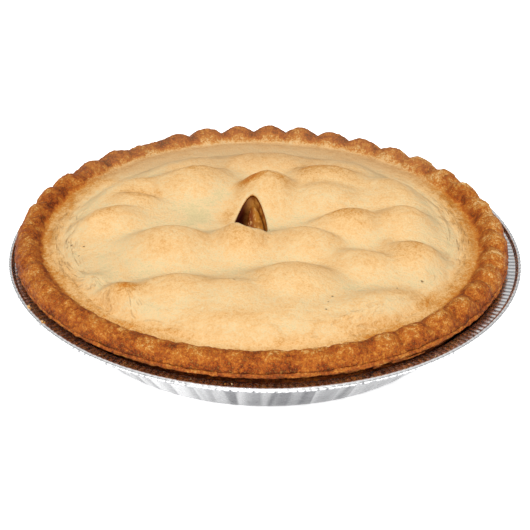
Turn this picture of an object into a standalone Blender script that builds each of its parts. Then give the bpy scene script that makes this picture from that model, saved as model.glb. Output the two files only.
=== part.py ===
"""Apple pie in its own foil pan.

A nine-inch double-crust apple pie, baked golden and left in its pressed foil pan.
Each sub-part is one closed solid:

    foil_pan      thin sheet with a pleated wall, a flat flange and a rolled bead
    bottom_crust  pastry shell that lines the pan and spreads out above the flange
    filling       cooked apple, solid from the shell up to the lid, with a well under the vent
    apple_slice   the slice of apple that shows in the vent
    top_crust     lumpy lid with its crimped rim and the vent that is cut in it

Metres, +Z up. The origin is the middle of the pan's base, on the surface it stands on.
-Y is the front. An azimuth is counted from the back (+Y) towards +X.
"""

import math

import bmesh
import bpy
import numpy as np

MM = 0.001

# ---------------------------------------------------------------- driving dimensions

COLLECTION = "apple_pie"
GAP = 0.3 * MM                    # clearance between pieces that touch
MERGE = 0.01 * MM                 # points closer than this are one
SHARP_FROM = math.radians(50.0)   # edges steeper than this stay sharp

# Foil pan. The section is the underside of the sheet, from the base to the curl's end.
SHEET = 0.5 * MM                  # thickness of the pressed sheet, stiffened for a solid
PAN_BASE_R = 91.3 * MM
PAN_CORNER_R = 93.2 * MM
PAN_CORNER_Z = 1.8 * MM
PAN_WALL_TOP_R = 112.9 * MM
PAN_WALL_TOP_Z = 25.1 * MM
FLANGE_IN_R = 114.2 * MM
FLANGE_OUT_R = 119.9 * MM
FLANGE_Z = 26.2 * MM
BEAD_R = 121.5 * MM               # middle of the rolled bead
BEAD_Z = 27.3 * MM
BEAD_TUBE = 0.6 * MM              # radius inside the roll
BEAD_FROM, BEAD_TO = 190.0, -100.0
BEAD_STEPS = 4
PLEATS = 58                       # folds round the wall, one in and one out step each
PLEAT_DEPTH = 0.45 * MM

# The pie sits a little towards the back left of its pan.
PIE_X, PIE_Y = -1.9 * MM, 2.5 * MM

# Lid: the mound between its lumps. It is heaped a little towards the front and ends
# MOUND_R from its own middle, inside the circle DOME_R where the rim begins.
DOME_R = 100.0 * MM
MOUND_Y = -2.0 * MM
MOUND_R = 95.0 * MM
DOME_EDGE_Z = 35.0 * MM
DOME_RISE = 4.5 * MM
DOME_POWER = 6.0                  # flat in the middle, falling away at the edge
LID_THICK = 3.6 * MM
VENT_LIP = 1.5 * MM               # the lid thins to this at the vent
VENT_THIN_SPAN = 0.12             # share of the way out over which it thins

# Apple pieces that push the lid up, in millimetres:
# x, y, half length, half width, turn of the long axis from +X in degrees, height.
LUMPS = (
    (-6, -72, 66, 22, 0, 4.8),      # broad heap in front
    (-70, -60, 17, 11, 2, 8.6),     # front row, left to right
    (-84, -46, 11, 9, 15, 5.0),
    (-41, -55, 19, 11, 8, 7.8),
    (-15, -58, 20, 11, 0, 7.2),
    (13, -47, 22, 13, 3, 10.2),
    (52, -66, 26, 14, 22, 5.6),
    (-44, -12, 20, 12, 0, 9.8),     # middle row, with the lip in front of the vent
    (-11, -9, 14, 10, -7, 10.4),
    (20, -11, 18, 11, -14, 9.2),
    (47, -29, 20, 10, -14, 7.0),
    (71, -21, 16, 11, -16, 8.2),
    (40, 7, 18, 10, 12, 10.0),
    (67, 13, 14, 11, -5, 9.2),
    (-76, 12, 20, 9, 14, 7.4),      # left side
    (-64, 29, 15, 8, -14, 6.6),
    (-72, 44, 22, 8, 22, 5.8),
    (-36, 51, 20, 13, 15, 9.2),
    (1, 40, 16, 13, 0, 12.4),       # hood behind the vent
    (29, 36, 18, 12, 0, 8.0),
    (31, 54, 20, 12, -8, 9.4),
    (62, 46, 22, 16, 10, 6.6),      # back
    (2, 74, 26, 8, 0, 6.6),
    (-42, 72, 20, 8, 12, 5.0),
    (42, 72, 20, 10, -10, 5.4),
)
LUMP_FRONT_STRETCH = 1.7          # a lump's front slope is this much longer than its back
LUMP_BACK_SHRINK = 0.85
LUMP_SHARPNESS = 1.2
LUMP_BLEND = 0.8 / MM             # how tightly neighbouring lumps keep apart
LUMP_FADE = 0.84                  # from this share of MOUND_R the lumps sink away

# Vent: an egg-shaped cut, its narrow end to the back.
VENT_X, VENT_Y = -7.3 * MM, 8.0 * MM
VENT_HALF_LENGTH = 19.0 * MM
VENT_HALF_WIDTH = 8.0 * MM
VENT_TAPER = 0.28

# Rim: a ribbon of crust that is pushed out and in again by the crimping.
CRIMPS = 41
FIRST_CRIMP = 1.9                 # azimuth of the first outward crimp
CRIMP_DRIFT = 0.9                 # the hand-made pitch wanders by this many degrees
CRIMP_SHARPNESS = 0.85             # round outward crimps with narrow notches between them
# Where the crimps are pressed flat: azimuth, half width in degrees, share that is lost.
CRIMP_FLATS = ((-32.0, 6.5, 1.0), (-112.0, 30.0, 0.85), (-170.0, 45.0, 0.5))
# Where the rim sank as it baked: azimuth, half width in degrees, how far its crest fell.
RIM_SINKS = ((36.0, 24.0, 1.2 * MM), (-52.0, 22.0, 1.2 * MM), (-31.0, 7.0, 1.2 * MM))
RIM_FOOT_Z, RIM_CREST_Z = 34.6 * MM, 38.7 * MM
# Lid's section through the rim in millimetres, from the dome's edge out to the seam:
# radius, height, and how far a crimp moves it outwards and upwards.
RIM_SECTION = (
    (103.2, 34.6, 0.0, 0.0),
    (105.2, 35.3, -0.7, 0.1),
    (106.8, 37.0, -0.3, 0.7),
    (109.2, 38.7, 1.0, 1.3),
    (111.8, 38.7, 1.7, 1.3),
    (114.4, 37.3, 1.5, 0.9),
    (116.3, 35.4, 0.9, 0.4),
    (117.5, 32.6, 0.2, 0.0),
)
SEAM_IN_R = 107.0 * MM            # the two crusts meet from here out
SEAM_IN_Z = 31.3 * MM             # lid's underside at that radius

# Bottom crust's section in millimetres, radius and height: up the inside to the seam,
# then down the outside to the pan's base. Below CENTRED_Z it is centred on the pan,
# and above LEANING_Z on the pie.
CRUST_INSIDE = ((86.0, 5.2), (106.0, 25.6), (107.0, 31.0))
CRUST_OUTSIDE = (
    (117.2, 32.1),
    (117.8, 31.0),
    (117.4, 29.9),
    (113.6, 28.9),
    (112.5, 27.8),
    (111.5, 25.4),
    (91.9, 2.3),
    (89.2, 0.9),
)
CENTRED_Z, LEANING_Z = 24.0, 32.0
# Filling's side, the gap's width inside the shell.
FILLING_SIDE = ((106.6, 31.0), (105.6, 25.8), (85.8, 5.6))

# Well under the vent: its rings as a share of the vent's size and a height.
WELL = ((0.94, 37.5 * MM), (0.88, 28.5 * MM))
WELL_FLOOR = 28.2 * MM

# Apple slice, a plump wedge that leans up to the back of the well.
SLICE_AT = (-4.9 * MM, 9.0 * MM, 34.4 * MM)
SLICE_HALF = (4.5 * MM, 15.0 * MM, 4.6 * MM)
SLICE_TAPER = 0.25                # narrower towards the back, like the vent
SLICE_BEND = 1.5 * MM             # how far the ends bow to the left
SLICE_RISE = 4.5 * MM             # how far its back end leans up
SLICE_CURL = 2.0 * MM             # how far both ends curl up
SLICE_MERIDIANS, SLICE_PARALLELS = 16, 10

# Number of points in a ring.
COARSE, MIDDLE, FINE = CRIMPS, 2 * CRIMPS, 4 * CRIMPS
# Rings of the lid's upper face from the vent (0) to the dome's edge (1).
TOP_RINGS = (
    (0.0, COARSE), (0.05, COARSE), (0.12, MIDDLE), (0.18, MIDDLE), (0.24, MIDDLE),
    (0.31, MIDDLE), (0.38, MIDDLE), (0.45, MIDDLE), (0.53, MIDDLE), (0.61, MIDDLE),
    (0.69, MIDDLE), (0.77, MIDDLE), (0.85, MIDDLE), (0.93, MIDDLE), (1.0, MIDDLE),
)
# Rings of the lid's lower face and of the filling's top, which lie against each other.
UNDER_RINGS = (0.0, 0.06, 0.14, 0.26, 0.39, 0.52, 0.66, 0.82, 1.0)

# Colours (sRGB) and surface of each material.
MATERIALS = {
    "foil": ((0.80, 0.80, 0.81), 0.28, 1.0),
    "pale_crust": ((0.93, 0.79, 0.56), 0.72, 0.0),
    "brown_crust": ((0.72, 0.42, 0.18), 0.75, 0.0),
    "apple_filling": ((0.58, 0.33, 0.12), 0.35, 0.0),
    "cooked_apple": ((0.76, 0.49, 0.22), 0.30, 0.0),
}


# ---------------------------------------------------------------- shape of the pie

def dome_height(x, y):
    """Height of the lid's upper face inside the rim, lumps included."""
    reach = np.clip(np.hypot(x - PIE_X, y - MOUND_Y) / MOUND_R, 0.0, 1.0)
    swell = np.ones_like(x)
    for at_x, at_y, half_length, half_width, turn, height in LUMPS:
        cos_t, sin_t = math.cos(math.radians(turn)), math.sin(math.radians(turn))
        across, along = y - at_y * MM, x - at_x * MM
        length = (along * cos_t + across * sin_t) / (half_length * MM)
        width = (across * cos_t - along * sin_t) / (half_width * MM)
        width = width / np.where(width < 0.0, LUMP_FRONT_STRETCH, LUMP_BACK_SHRINK)
        bump = height * MM * np.exp(-(length ** 2 + width ** 2) ** LUMP_SHARPNESS)
        swell = swell + np.exp(LUMP_BLEND * bump) - 1.0
    fade = 1.0 - np.clip((reach - LUMP_FADE) / (1.0 - LUMP_FADE), 0.0, 1.0) ** 2
    bare = DOME_EDGE_Z + DOME_RISE * (1.0 - reach ** DOME_POWER)
    return bare + fade * np.log(swell) / LUMP_BLEND


def crimp_azimuth(turn):
    """Azimuth in radians of a place on the rim that is `turn` crimps round it."""
    even = np.radians(FIRST_CRIMP + 360.0 * turn / CRIMPS)
    return even - math.radians(CRIMP_DRIFT) * np.sin(3.0 * even)


def stretches(turn, rows):
    """Sum of soft stretches of the rim, each an azimuth, a half width and an amount."""
    azimuth = np.degrees(crimp_azimuth(turn))
    total = np.zeros_like(turn)
    for middle, half_width, amount in rows:
        away = (azimuth - middle + 180.0) % 360.0 - 180.0
        total = total + amount * np.exp(-(away / half_width) ** 2)
    return total


def crimp_wave(turn):
    """1 on an outward crimp, -1 in the notch between two, less where they are flat."""
    depth = 1.0 - stretches(turn, CRIMP_FLATS)
    wave = 2.0 * np.abs(np.cos(math.pi * turn)) ** CRIMP_SHARPNESS - 1.0
    return depth * wave


def around_pie(turn, radius, height):
    """Points on a circle round the pie's own middle."""
    azimuth = crimp_azimuth(turn)
    x = PIE_X + radius * np.sin(azimuth)
    y = PIE_Y + radius * np.cos(azimuth)
    return np.stack([x, y, np.broadcast_to(height, x.shape)], axis=1)


def rim_ring(turn, section_row):
    """One ring of the crimped rim."""
    radius, height, out, up = (value * MM for value in section_row)
    wave = crimp_wave(turn)
    lifted = max((height - RIM_FOOT_Z) / (RIM_CREST_Z - RIM_FOOT_Z), 0.0)
    sunk = lifted * stretches(turn, RIM_SINKS)
    return around_pie(turn, radius + out * wave, height + up * wave - sunk)


def vent_outline(turn, share=1.0):
    """Plan of the vent's edge, or of the same egg shape at a share of its size."""
    azimuth = crimp_azimuth(turn)
    bulge = 1.0 - VENT_TAPER * np.cos(azimuth)
    x = VENT_X + share * VENT_HALF_WIDTH * np.sin(azimuth) * bulge
    y = VENT_Y + share * VENT_HALF_LENGTH * np.cos(azimuth)
    return x, y


def dome_plan(turn, way):
    """Plan of a ring that is part of the way from the vent (0) to the dome's edge (1)."""
    vent_x, vent_y = vent_outline(turn)
    edge = around_pie(turn, DOME_R, 0.0)
    x = vent_x + way * (edge[:, 0] - vent_x)
    y = vent_y + way * (edge[:, 1] - vent_y)
    return x, y


def top_ring(turn, way):
    """One ring of the lid's upper face."""
    x, y = dome_plan(turn, way)
    return np.stack([x, y, dome_height(x, y)], axis=1)


def under_ring(turn, way, lower=0.0):
    """One ring of the lid's lower face, or of a face that lies just below it."""
    x, y = dome_plan(turn, way)
    thin = min(way / VENT_THIN_SPAN, 1.0)
    thick = VENT_LIP + thin * (LID_THICK - VENT_LIP)
    return np.stack([x, y, dome_height(x, y) - thick - lower], axis=1)


def shell_ring(turn, radius, height):
    """A plain ring of the shell or the filling, its radius and height in millimetres."""
    lean = min(max((height - CENTRED_Z) / (LEANING_Z - CENTRED_Z), 0.0), 1.0)
    ring = around_pie(turn, radius * MM, height * MM)
    ring[:, 0] -= (1.0 - lean) * PIE_X
    ring[:, 1] -= (1.0 - lean) * PIE_Y
    return ring


def well_ring(turn, share, height):
    """One ring of the well's wall."""
    x, y = vent_outline(turn, share)
    return np.stack([x, y, np.full_like(x, height)], axis=1)


# ---------------------------------------------------------------- making meshes

def ring_of(count, place, *details):
    """`count` points round the pie, from place(turn, *details)."""
    return place(np.arange(count) * CRIMPS / count, *details)


def loft(bm, rings, closed=False):
    """Faces from each ring of points to the next, and back to the first if closed.

    The rings are joined while they lie as a stack of equal circles and go to their
    points afterwards, so that steep places can't twist them. Returns each ring's edges.
    """
    circles, laid = [], []
    for level, points in enumerate(rings):
        verts = bmesh.ops.create_circle(bm, radius=1.0, segments=len(points))["verts"]
        bmesh.ops.translate(bm, verts=verts, vec=(0.0, 0.0, level))
        circles.append(verts)
        laid.append(list(dict.fromkeys(edge for vert in verts for edge in vert.link_edges)))
    for ring, after in zip(laid, laid[1:]):
        bmesh.ops.bridge_loops(bm, edges=ring + after)
    if closed:
        bmesh.ops.translate(bm, verts=circles[0], vec=(0.0, 0.0, len(rings)))
        bmesh.ops.bridge_loops(bm, edges=laid[-1] + laid[0])
    for verts, points in zip(circles, rings):
        for vert, point in zip(verts, points):
            vert.co = point
    return laid


def close_ring(bm, ring, height):
    """Faces from a ring of edges to a point in its middle at the height given."""
    cap = bmesh.ops.contextual_create(bm, geom=ring)["faces"]
    middle = bmesh.ops.poke(bm, faces=cap)["verts"][0]
    middle.co.z = height


def finished(name, bm, material):
    """The mesh as a named object: its faces point outwards and round ones are smooth.

    Faces are split along their shorter diagonal, so that two that lie against each
    other split alike and stay clear of each other.
    """
    bmesh.ops.triangulate(bm, faces=bm.faces, quad_method="SHORT_EDGE")
    bmesh.ops.recalc_face_normals(bm, faces=bm.faces)
    mesh = bpy.data.meshes.new(name)
    bm.to_mesh(mesh)
    bm.free()
    mesh.shade_smooth()
    mesh.set_sharp_from_angle(angle=SHARP_FROM)
    mesh.materials.append(make_material(material))
    piece = bpy.data.objects.new(name, mesh)
    bpy.data.collections[COLLECTION].objects.link(piece)
    return piece


def make_material(name):
    """A Principled material in the named finish."""
    colour, roughness, metallic = MATERIALS[name]
    linear = [((value + 0.055) / 1.055) ** 2.4 for value in colour]
    material = bpy.data.materials.new(name)
    material.use_nodes = True
    shader = material.node_tree.nodes["Principled BSDF"]
    shader.inputs["Base Color"].default_value = (*linear, 1.0)
    shader.inputs["Roughness"].default_value = roughness
    shader.inputs["Metallic"].default_value = metallic
    material.diffuse_color = (*linear, 1.0)
    return material


# ---------------------------------------------------------------- the pieces

def pan_section():
    """Underside of the sheet as (radius, height), from the middle to the curl's end."""
    section = [
        (0.0, 0.0),
        (PAN_BASE_R, 0.0),
        (PAN_CORNER_R, PAN_CORNER_Z),
        (PAN_WALL_TOP_R, PAN_WALL_TOP_Z),
        (FLANGE_IN_R, FLANGE_Z),
        (FLANGE_OUT_R, FLANGE_Z),
    ]
    for angle in np.radians(np.linspace(BEAD_FROM, BEAD_TO, BEAD_STEPS + 1)):
        curl_r = BEAD_R + BEAD_TUBE * math.cos(angle)
        curl_z = BEAD_Z + BEAD_TUBE * math.sin(angle)
        section.append((curl_r, curl_z))
    return section


def fold_pleats(bm):
    """Every other step round the wall moves in, and the ones between move out."""
    for vert in bm.verts:
        radius = math.hypot(vert.co.x, vert.co.y)
        if PAN_BASE_R < radius - PLEAT_DEPTH and radius + PLEAT_DEPTH < FLANGE_IN_R:
            step = round(math.atan2(vert.co.y, vert.co.x) / math.tau * 2 * PLEATS)
            fold = PLEAT_DEPTH if step % 2 else -PLEAT_DEPTH
            vert.co.x *= 1.0 + fold / radius
            vert.co.y *= 1.0 + fold / radius


def make_foil_pan():
    """Section turned round the axis, its wall folded into pleats, then given thickness."""
    bm = bmesh.new()
    verts = [bm.verts.new((radius, 0.0, height)) for radius, height in pan_section()]
    edges = [bm.edges.new(pair) for pair in zip(verts, verts[1:])]
    bmesh.ops.spin(bm, geom=verts + edges, cent=(0, 0, 0), axis=(0, 0, 1),
                   angle=math.tau, steps=2 * PLEATS, use_merge=True)
    bmesh.ops.remove_doubles(bm, verts=bm.verts, dist=MERGE)
    fold_pleats(bm)
    pan = finished("foil_pan", bm, "foil")
    sheet = pan.modifiers.new("sheet", "SOLIDIFY")
    sheet.thickness = SHEET
    sheet.offset = 1.0
    sheet.use_even_offset = True


def make_bottom_crust():
    """Shell in the pan, spread out above the flange, open at the top for the filling."""
    bm = bmesh.new()
    laid = loft(bm, [ring_of(MIDDLE, shell_ring, *row) for row in CRUST_INSIDE + CRUST_OUTSIDE])
    close_ring(bm, laid[0], CRUST_INSIDE[0][1] * MM)
    close_ring(bm, laid[-1], CRUST_OUTSIDE[-1][1] * MM)
    finished("bottom_crust", bm, "brown_crust")


def make_top_crust():
    """Lid: out from the vent over the lumps to the crimped rim, and back underneath."""
    bm = bmesh.new()
    upper = [ring_of(count, top_ring, way) for way, count in TOP_RINGS]
    rim = [ring_of(FINE, rim_ring, row) for row in RIM_SECTION]
    seam = [ring_of(MIDDLE, around_pie, SEAM_IN_R, SEAM_IN_Z)]
    under = [ring_of(COARSE, under_ring, way) for way in reversed(UNDER_RINGS)]
    loft(bm, upper + rim + seam + under, closed=True)
    finished("top_crust", bm, "pale_crust")


def make_filling():
    """Apple between the crusts, up to the lid, with the well that the vent shows."""
    bm = bmesh.new()
    well = [ring_of(COARSE, well_ring, *row) for row in reversed(WELL)]
    top = [ring_of(COARSE, under_ring, way, GAP) for way in UNDER_RINGS]
    side = [ring_of(MIDDLE, shell_ring, *row) for row in FILLING_SIDE]
    laid = loft(bm, well + top + side)
    close_ring(bm, laid[0], WELL_FLOOR)
    close_ring(bm, laid[-1], FILLING_SIDE[-1][1] * MM)
    finished("filling", bm, "apple_filling")


def make_apple_slice():
    """A round wedge, longest from front to back, that is bowed, tapered and leans back."""
    bm = bmesh.new()
    bmesh.ops.create_uvsphere(bm, u_segments=SLICE_MERIDIANS, v_segments=SLICE_PARALLELS,
                              radius=1.0)
    for vert in bm.verts:
        x, y, z = vert.co
        vert.co.x = SLICE_AT[0] + SLICE_HALF[0] * x * (1.0 - SLICE_TAPER * y) - SLICE_BEND * y * y
        vert.co.y = SLICE_AT[1] + SLICE_HALF[1] * y
        vert.co.z = SLICE_AT[2] + SLICE_HALF[2] * z + SLICE_RISE * y + SLICE_CURL * y * y
    finished("apple_slice", bm, "cooked_apple")


def build():
    """Every piece of the pie, in a collection of its own."""
    for old in list(bpy.data.objects):
        bpy.data.objects.remove(old, do_unlink=True)
    pie = bpy.data.collections.new(COLLECTION)
    bpy.context.scene.collection.children.link(pie)
    make_foil_pan()
    make_bottom_crust()
    make_filling()
    make_apple_slice()
    make_top_crust()


build()
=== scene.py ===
"""Apple pie in its foil pan: how it looks.

The lid, its crimped rim, the edge of the bottom crust, the apple in the vent and the
pan are modelled again here with their fine relief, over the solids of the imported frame.
Metres, +Z up, -Y is the front. An azimuth is counted from the back (+Y) towards +X.
"""

import math

import bmesh
import bpy
import numpy as np
from mathutils import Matrix, Vector, noise


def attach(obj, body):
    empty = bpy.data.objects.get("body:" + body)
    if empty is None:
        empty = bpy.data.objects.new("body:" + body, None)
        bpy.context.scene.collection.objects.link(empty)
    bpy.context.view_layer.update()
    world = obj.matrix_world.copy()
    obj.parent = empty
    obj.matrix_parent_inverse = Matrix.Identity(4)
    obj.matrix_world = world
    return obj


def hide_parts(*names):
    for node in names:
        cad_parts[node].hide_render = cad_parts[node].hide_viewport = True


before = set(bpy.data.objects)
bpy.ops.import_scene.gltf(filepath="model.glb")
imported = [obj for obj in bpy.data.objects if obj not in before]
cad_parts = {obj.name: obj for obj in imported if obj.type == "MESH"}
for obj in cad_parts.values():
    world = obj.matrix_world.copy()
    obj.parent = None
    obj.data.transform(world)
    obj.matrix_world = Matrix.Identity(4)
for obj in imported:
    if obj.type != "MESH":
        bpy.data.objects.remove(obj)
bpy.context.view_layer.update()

MM = 0.001

# ---------------------------------------------------------------- shape of the pie
# The same values as in the part's source.

PIE_X, PIE_Y = -1.9 * MM, 2.5 * MM
DOME_R = 100.0 * MM
MOUND_Y, MOUND_R = -2.0 * MM, 95.0 * MM
DOME_EDGE_Z = 35.0 * MM
DOME_RISE = 4.5 * MM
DOME_POWER = 6.0
LID_THICK = 3.6 * MM
VENT_LIP = 1.5 * MM
VENT_THIN_SPAN = 0.12

# Apple pieces under the lid, in millimetres:
# x, y, half length, half width, turn of the long axis from +X in degrees, height.
LUMPS = (
    (-6, -72, 66, 22, 0, 4.8),      # broad heap in front
    (-70, -60, 17, 11, 2, 8.6),     # front row, left to right
    (-84, -46, 11, 9, 15, 5.0),
    (-41, -55, 19, 11, 8, 7.8),
    (-15, -58, 20, 11, 0, 7.2),
    (13, -47, 22, 13, 3, 10.2),
    (52, -66, 26, 14, 22, 5.6),
    (-44, -12, 20, 12, 0, 9.8),     # middle row, with the lip in front of the vent
    (-11, -9, 14, 10, -7, 10.4),
    (20, -11, 18, 11, -14, 9.2),
    (47, -29, 20, 10, -14, 7.0),
    (71, -21, 16, 11, -16, 8.2),
    (40, 7, 18, 10, 12, 10.0),
    (67, 13, 14, 11, -5, 9.2),
    (-76, 12, 20, 9, 14, 7.4),      # left side
    (-64, 29, 15, 8, -14, 6.6),
    (-72, 44, 22, 8, 22, 5.8),
    (-36, 51, 20, 13, 15, 9.2),
    (1, 40, 16, 13, 0, 12.4),       # hood behind the vent
    (29, 36, 18, 12, 0, 8.0),
    (31, 54, 20, 12, -8, 9.4),
    (62, 46, 22, 16, 10, 6.6),      # back
    (2, 74, 26, 8, 0, 6.6),
    (-42, 72, 20, 8, 12, 5.0),
    (42, 72, 20, 10, -10, 5.4),
)
LUMP_FRONT_STRETCH = 1.7
LUMP_SHARPNESS = 1.2
LUMP_BLEND = 0.8 / MM
LUMP_BACK_SHRINK = 0.85
LUMP_FADE = 0.84

VENT_X, VENT_Y = -7.3 * MM, 8.0 * MM
VENT_HALF_LENGTH = 19.0 * MM
VENT_HALF_WIDTH = 8.0 * MM
VENT_TAPER = 0.28

CRIMPS = 41
FIRST_CRIMP = 1.9
CRIMP_DRIFT = 0.9
CRIMP_SHARPNESS = 0.85
CRIMP_FLATS = ((-32.0, 6.5, 1.0), (-112.0, 30.0, 0.85), (-170.0, 45.0, 0.5))
RIM_SINKS = ((36.0, 24.0, 1.2 * MM), (-52.0, 22.0, 1.2 * MM), (-31.0, 7.0, 1.2 * MM))
RIM_FOOT_Z, RIM_CREST_Z = 34.6 * MM, 38.7 * MM
RIM_SECTION = (
    (100.0, 35.0, 0.0, 0.0),
    (103.2, 34.6, 0.0, 0.0),
    (105.2, 35.3, -0.7, 0.1),
    (106.8, 37.0, -0.3, 0.7),
    (109.2, 38.7, 1.0, 1.3),
    (111.8, 38.7, 1.7, 1.3),
    (114.4, 37.3, 1.5, 0.9),
    (116.3, 35.4, 0.9, 0.4),
    (117.8, 32.0, 0.1, 0.0),
)
SEAM_ROWS = ((116.4, 31.8, 0.0, 0.0), (107.0, 31.3, 0.0, 0.0))
CRUST_INSIDE = ((86.0, 5.2), (106.0, 25.6), (107.0, 31.0))
CRUST_EDGE = (
    (115.6, 31.4), (117.3, 31.7), (117.9, 31.0), (117.6, 30.0), (116.2, 29.3), (113.6, 28.8),
)
CRUST_BELOW = ((112.5, 27.8), (111.5, 25.4), (91.9, 2.3), (89.2, 0.9))
CENTRED_Z, LEANING_Z = 24.0, 32.0
FILLING_SIDE = ((106.6, 31.0), (105.6, 25.8), (85.8, 5.6))
WELL = ((0.94, 37.5 * MM), (0.88, 28.5 * MM))
WELL_FLOOR = 28.2 * MM
UNDER_WAYS = (0.0, 0.06, 0.14, 0.26, 0.39, 0.52, 0.66, 0.82, 1.0)
GAP = 0.3 * MM
SLICE_AT = (-4.9 * MM, 9.0 * MM, 34.4 * MM)
SLICE_HALF = (4.5 * MM, 15.0 * MM, 4.6 * MM)
SLICE_TAPER, SLICE_BEND = 0.25, 1.5 * MM
SLICE_RISE, SLICE_CURL = 4.5 * MM, 2.0 * MM

# ---------------------------------------------------------------- fine relief of the crust

# Creases where the dough sank in between the apples or folded over itself, in
# millimetres: width, depth, then the places that the crease runs through.
CREASES = (
    (3.5, 0.9, ((-91, 60), (-84, 62), (-75, 61), (-67, 52), (-58, 46))),
    (1.6, 0.7, ((-54, 42), (-52, 34))),
    (1.5, 0.8, ((-95, 44), (-95, 34), (-95, 27), (-97, 16))),
    (2.2, 0.9, ((-91, 7), (-84, 6), (-76, 10), (-69, 17))),
    (1.6, 0.7, ((-103, 8), (-103, 0), (-101, -7))),
    (2.6, 0.8, ((-57, 50), (-49, 58), (-36, 72), (-27, 80), (-19, 78))),
    (2.4, 0.8, ((-21, 62), (-17, 71), (-8, 77), (3, 88), (9, 79))),
    (2.4, 0.8, ((15, 62), (22, 68), (29, 81), (37, 90), (45, 72))),
    (1.6, 0.6, ((72, 50), (78, 42), (84, 34))),
    (1.3, 0.8, ((87, 50), (86, 36), (86, 19))),
    (1.3, 1.0, ((90, 47), (90, 34), (92, 20), (95, 13), (95, -1))),
    (1.4, 0.7, ((55, -13), (59, -8), (65, 1))),
    (1.2, 0.6, ((57, -11), (62, -9), (68, -5))),
    (1.2, 0.6, ((79, -45), (77, -50), (74, -57), (70, -62))),
    (1.0, 0.5, ((89, -35), (84, -43), (79, -50))),
    (1.3, 0.6, ((37, -79), (44, -77), (50, -78), (55, -75), (61, -71))),
    (1.3, 0.7, ((6, -95), (12, -94), (21, -89), (24, -84), (33, -82))),
    (1.1, 0.7, ((-89, -40), (-86, -48), (-81, -57), (-79, -62), (-73, -71))),
    (1.1, 0.6, ((-73, -71), (-67, -75), (-58, -80), (-49, -84), (-38, -87))),
    (1.4, 0.7, ((-73, -22), (-67, -34), (-64, -44))),
    (1.2, 0.5, ((-98, -14), (-95, -22), (-90, -31), (-88, -38))),
    (0.8, 1.2, ((3, -88), (8, -92))),
)

# The flaky edge of the bottom crust: its layers, chips and bake. In the gap under its edge it is
# painted dark as shade.
SHELL_LAYER_RISE, SHELL_LAYER_LONG, SHELL_LAYER_WIDE = 0.35 * MM, 9.0 * MM, 2.2 * MM
SHELL_CHIP_RISE, SHELL_CHIP_SIZE = 0.5 * MM, 3.2 * MM
SHELL_PALER, SHELL_UNEVEN = 0.27, 0.12
# The filling in the vent and the slice's skin: how high and how wide their lumps are.
FILLING_RISE, FILLING_SIZE = 0.7 * MM, 4.0 * MM
SLICE_GRAIN_RISE, SLICE_GRAIN_SIZE = 0.18 * MM, 2.2 * MM

# Small pits in the lid, in millimetres: x, y, radius.
PITS = (
    (73, -43, 0.6), (61, -52, 0.5), (31, -64, 0.5), (29, -69, 0.35), (28, -75, 0.4),
    (-92, -8, 0.5), (-86, -11, 0.5), (-88, -18, 0.4), (-95, -3, 0.4),
    (2, 2, 0.4), (-94, 12, 0.4), (-14, -56, 0.5),
)
# Painted shade in the pits: they are coloured this dark brown grey.
PIT_SHADE_TONE = (150, 104, 58)
# Painted shade along the fine wrinkle lines of the dome's skin.
WRINKLE_SHADE_TONE = (186, 132, 74)
# Painted shade: the far slope of the dome is mixed towards this duller, darker tone; the rim gets
# less of it.
FAR_SLOPE_SHADE_TONE = (206, 163, 115)            # the far slope of the dome
RIM_CLEAR = 0.65                       # how much less of it the rim has

# Places that baked darker or stayed paler, and on the far sides of some lumps painted shade, in
# millimetres: x, y, half length, half width, added bake.
PATCHES = (
    (-7, 40, 7, 4, 0.26), (0, 43, 16, 8, 0.06), (9, 38, 4, 3, 0.12),
    (-18, 16, 6, 13, 0.24), (30, 58, 15, 7, 0.22),
    (2, 75, 26, 7, 0.11), (-34, 57, 12, 7, 0.12), (-62, 34, 11, 6, 0.26),
    (-65, -59, 10, 7, 0.24), (-20, -84, 32, 9, 0.10), (-12, -14, 13, 8, 0.10),
    (40, 9, 14, 7, 0.12), (44, -2, 12, 6, 0.03), (68, -20, 15, 8, 0.10),
    (66, 48, 20, 12, 0.04), (-84, 0, 10, 20, 0.05), (70, -57, 13, 8, 0.17),
    (47, -83, 24, 8, 0.12), (16, -43, 15, 6, 0.05), (-40, -50, 14, 5, 0.02),
    (24, 28, 12, 8, -0.10), (-31, 18, 12, 14, -0.12), (-22, 38, 5, 10, -0.16),
    (18, -24, 22, 5, -0.05), (52, -6, 6, 5, -0.05), (40, -52, 9, 6, -0.04),
    (-56, -32, 10, 8, -0.02), (-8, -66, 30, 8, -0.07),
    (-102, -6, 9, 38, -0.08), (-82, -62, 12, 10, -0.06), (78, -64, 12, 10, -0.06),
)

# Where the dough wrinkles along the rim: azimuth and half width in degrees, strength.
WRINKLES = ((-98.0, 34.0, 1.0), (88.0, 30.0, 1.0), (152.0, 20.0, 0.8), (-140.0, 22.0, 0.6))
WRINKLE_IN, WRINKLE_OUT = 84.0 * MM, 98.0 * MM
WRINKLE_RISE = 0.45 * MM
WRINKLE_LONG, WRINKLE_WIDE = 22.0 * MM, 3.0 * MM
SKIN_LONG, SKIN_WIDE = 20.0 * MM, 1.7 * MM      # the finer wrinkles of the material

# Relief of the pastry: how high and how wide its lumps are.
SWELL_RISE, SWELL_SIZE = 0.35 * MM, 13.0 * MM
GRAIN_RISE, GRAIN_SIZE = 0.10 * MM, 3.4 * MM
CRUMBLE_RISE, CRUMBLE_SIZE = 0.60 * MM, 6.0 * MM
CRUMB_RISE, CRUMB_SIZE = 0.36 * MM, 1.8 * MM
LAYER_RISE, LAYER_LONG, LAYER_WIDE = 0.25 * MM, 12.0 * MM, 2.0 * MM
CREASE_DEPTH, CREASE_SPREAD = 0.6, 1.3          # shares of a crease's own depth and width
# Where the crimps stand out as beads: azimuth and half width in degrees, height.
BEADS = ((-108.0, 36.0, 0.55 * MM), (-165.0, 24.0, 0.3 * MM), (75.0, 30.0, 0.25 * MM))

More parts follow.
